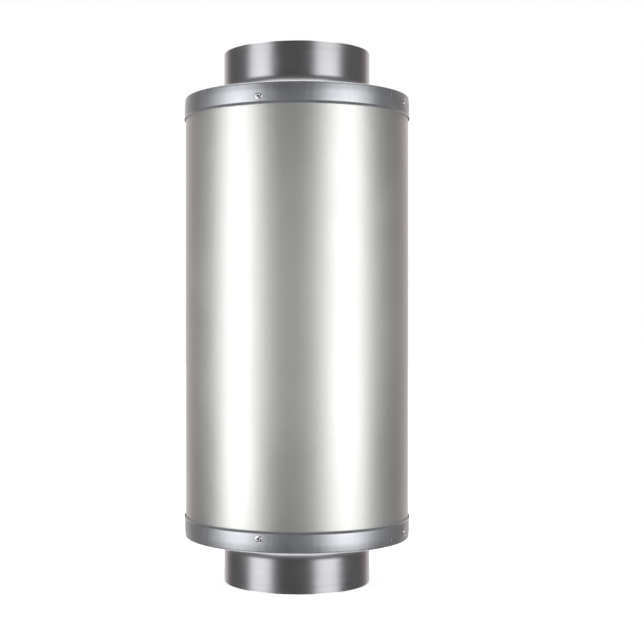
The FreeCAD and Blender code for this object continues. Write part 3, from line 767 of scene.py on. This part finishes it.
finish_piece(build_shell("jacket"), "outer_shell", "jacket_steel")
finish_piece(build_end_plate("end_plate_top", 1, TOP_FACE, 3), "upper_end_plate", "spun_steel")
finish_piece(build_end_plate("end_plate_foot", -1, LOW_FACE, 5), "lower_end_plate", "spun_steel")
finish_piece(build_band("band_top", 1, TOP_FACE, 21), "upper_closing_band", "band_steel")
finish_piece(build_band("band_foot", -1, LOW_FACE, 22), "lower_closing_band", "band_steel")
finish_piece(build_rivets("rivets_top", 1, TOP_FACE, 31), "upper_rivets", "rivet_aluminium")
finish_piece(build_rivets("rivets_foot", -1, LOW_FACE, 32), "lower_rivets", "rivet_aluminium")
finish_piece(build_mandrels("mandrels_top", 1, TOP_FACE, 33), "upper_rivet_mandrels", "mandrel_steel")
finish_piece(build_mandrels("mandrels_foot", -1, LOW_FACE, 34), "lower_rivet_mandrels", "mandrel_steel")
finish_piece(build_fleece("lining"), "airway_fleece", "black_fleece")

for node, slot in (("perforated_tube", "slotted_steel"), ("inner_wool_layer", "mineral_wool"),
                   ("outer_wool_layer", "mineral_wool"), ("upper_sealing_ring", "sealing_foam"),
                   ("lower_sealing_ring", "sealing_foam")):
    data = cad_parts[node].data
    data.materials.clear()
    data.materials.append(MATERIALS[slot])


# ---------------------------------------------------------------------------
# Studio: pale floor, two tall soft boxes, a bright wall behind
# ---------------------------------------------------------------------------
def build_floor():
    n, rings = 96, [0.0, 0.4, 1.2, 3.0, 8.0]
    co = [(0, 0, 0)]
    for r in rings[1:]:
        for k in range(n):
            a = 2 * math.pi * k / n
            co.append((r * math.cos(a), r * math.sin(a), 0))
    faces = []
    for k in range(n):
        faces.append((0, 1 + k, 1 + (k + 1) % n))
    for i in range(len(rings) - 2):
        for k in range(n):
            a, b = 1 + i * n + k, 1 + i * n + (k + 1) % n
            faces.append((a, a + n, b + n, b))
    mesh = bpy.data.meshes.new("studio_floor")
    mesh.from_pydata(co, [], faces)
    mesh.update()
    obj = bpy.data.objects.new("studio_floor", mesh)
    bpy.context.scene.collection.objects.link(obj)
    m = Mat("pale_floor")
    tone = m.noise(m.coords(), 3.0, 2.0, 0.5)
    m.to(m.ramp(tone, [(0.3, (0.86, 0.86, 0.86)), (0.7, (0.90, 0.90, 0.90))]), "Base Color")
    m.set(Roughness=0.9, Specular_IOR_Level=0.1)
    xyz = m.split(m.coords())
    far = m.math("POWER", m.math("ADD", m.math("MULTIPLY", xyz[0], xyz[0]), m.math("MULTIPLY", xyz[1], xyz[1])), 0.5)
    glow = m.n("ShaderNodeEmission")
    m.t.links.new(m.span(far, 0.15, 1.1, 0.66, 1.0), glow.inputs["Strength"])
    both = m.n("ShaderNodeAddShader")
    m.link(m.p, "BSDF", both, 0)
    m.link(glow, "Emission", both, 1)
    clear = m.n("ShaderNodeBsdfTransparent")
    face = m.n("ShaderNodeNewGeometry")
    last = m.n("ShaderNodeMixShader")
    m.link(face, "Backfacing", last, 0)
    m.link(both, "Shader", last, 1)
    m.link(clear, "BSDF", last, 2)
    m.link(last, "Shader", m.out, "Surface")
    obj.visible_glossy = False
    obj.visible_shadow = False
    mesh.materials.append(m.m)


build_floor()


def soft_box(name, azimuth, distance, width, height, centre_z, radiance, aim_z=0.3585):
    light = bpy.data.lights.new(name, "AREA")
    light.shape = "RECTANGLE"
    light.size, light.size_y = width, height
    light.energy = radiance * math.pi * width * height
    obj = bpy.data.objects.new(name, light)
    a = math.radians(azimuth)
    obj.location = (distance * math.sin(a), -distance * math.cos(a), centre_z)
    from mathutils import Vector
    way = Vector((0, 0, aim_z)) - obj.location
    obj.rotation_mode = "QUATERNION"
    obj.rotation_quaternion = way.to_track_quat("-Z", "Y")
    obj.visible_camera = False
    bpy.context.scene.collection.objects.link(obj)
    return obj


soft_box("soft_box_left", -57.0, 1.45, 0.96, 1.5, 0.3585, 1.95)
soft_box("soft_box_right", 47.5, 1.45, 1.03, 1.5, 0.3585, 1.90)
soft_box("hot_left", -57.0, 1.44, 0.96, 0.42, 0.3585, 0.95)
soft_box("hot_right", 48.0, 1.44, 1.0, 0.42, 0.3585, 0.85)
soft_box("front_fill", -2.0, 2.5, 1.5, 0.42, 0.3585, 0.40)

world = bpy.data.worlds.new("studio")
bpy.context.scene.world = world
world.use_nodes = True
wt = world.node_tree
wt.nodes.clear()


def wn(kind, **props):
    node = wt.nodes.new(kind)
    for key, value in props.items():
        setattr(node, key, value)
    return node


def wmath(op, a, b=None):
    node = wn("ShaderNodeMath", operation=op)
    for i, v in enumerate((a, b)):
        if v is None:
            continue
        if isinstance(v, (int, float)):
            node.inputs[i].default_value = v
        else:
            wt.links.new(v, node.inputs[i])
    return node.outputs[0]


way = wn("ShaderNodeTexCoord").outputs["Generated"]
parts = wn("ShaderNodeSeparateXYZ")
wt.links.new(way, parts.inputs[0])
high = wmath("ABSOLUTE", parts.outputs[2])
behind = wmath("ADD", parts.outputs[1], wmath("MULTIPLY", high, 0.25))
wall = wn("ShaderNodeValToRGB")
wall.color_ramp.interpolation = "LINEAR"
STOPS = [(0.0, 0.036, 0), (0.07, 0.110, 0), (0.30, 0.125, 0), (0.52, 0.115, 0), (0.66, 0.16, 1), (0.76, 0.22, 1), (0.83, 0.48, 1), (0.90, 1.0, 0), (1.0, 1.05, 0)]
ramp = wall.color_ramp
while len(ramp.elements) < len(STOPS):
    ramp.elements.new(0.5)
for e, (pos, level, warm) in zip(ramp.elements, STOPS):
    e.position = pos
    e.color = (level * (1.24 if warm else 1.0), level, level * (0.96 if warm else 1.01), 1.0)
wt.links.new(behind, wall.inputs[0])
lit = wn("ShaderNodeBackground")
wt.links.new(wall.outputs["Color"], lit.inputs["Color"])


def wstep(value, low, high_end):
    node = wn("ShaderNodeMapRange", interpolation_type="SMOOTHSTEP")
    node.inputs["From Min"].default_value = low
    node.inputs["From Max"].default_value = high_end
    wt.links.new(value, node.inputs["Value"])
    return node.outputs["Result"]


# a dim ceiling, with a light from its middle to the back; mirrored below
overhead = wmath("MULTIPLY", wstep(high, 0.78, 0.94), wstep(parts.outputs[1], -0.45, -0.20))
over = wn("ShaderNodeBackground")
over.inputs["Color"].default_value = (1, 1, 1, 1)
ceiling = wmath("MULTIPLY", wstep(high, 0.30, 0.50), 0.11)
wt.links.new(wmath("ADD", wmath("MULTIPLY", overhead, 2.0), ceiling), over.inputs["Strength"])
studio_light = wn("ShaderNodeAddShader")
wt.links.new(lit.outputs[0], studio_light.inputs[0])
wt.links.new(over.outputs[0], studio_light.inputs[1])
plain = wn("ShaderNodeBackground")
plain.inputs["Color"].default_value = (1, 1, 1, 1)
plain.inputs["Strength"].default_value = 1.0
seen = wn("ShaderNodeLightPath")
choose = wn("ShaderNodeMixShader")
wt.links.new(seen.outputs["Is Camera Ray"], choose.inputs[0])
wt.links.new(studio_light.outputs[0], choose.inputs[1])
wt.links.new(plain.outputs[0], choose.inputs[2])
world_out = wn("ShaderNodeOutputWorld")
wt.links.new(choose.outputs[0], world_out.inputs["Surface"])

# ---------------------------------------------------------------------------
# Camera: level with the middle of the object, as in the photo
# ---------------------------------------------------------------------------
camera_data = bpy.data.cameras.new("camera")
camera_data.sensor_width = 36.0
camera_data.lens = 73.15
camera_data.shift_x = 0.0924
camera_data.shift_y = 0.0092
camera = bpy.data.objects.new("camera", camera_data)
camera.location = (0.0, -1.792, 0.3585)
camera.rotation_euler = (math.radians(90.0), 0.0, math.radians(1.5))
bpy.context.scene.collection.objects.link(camera)
bpy.context.scene.camera = camera

settings = bpy.context.scene.view_settings
settings.view_transform = "Standard"
settings.look = "None"
settings.exposure = 0.0
settings.gamma = 1.0
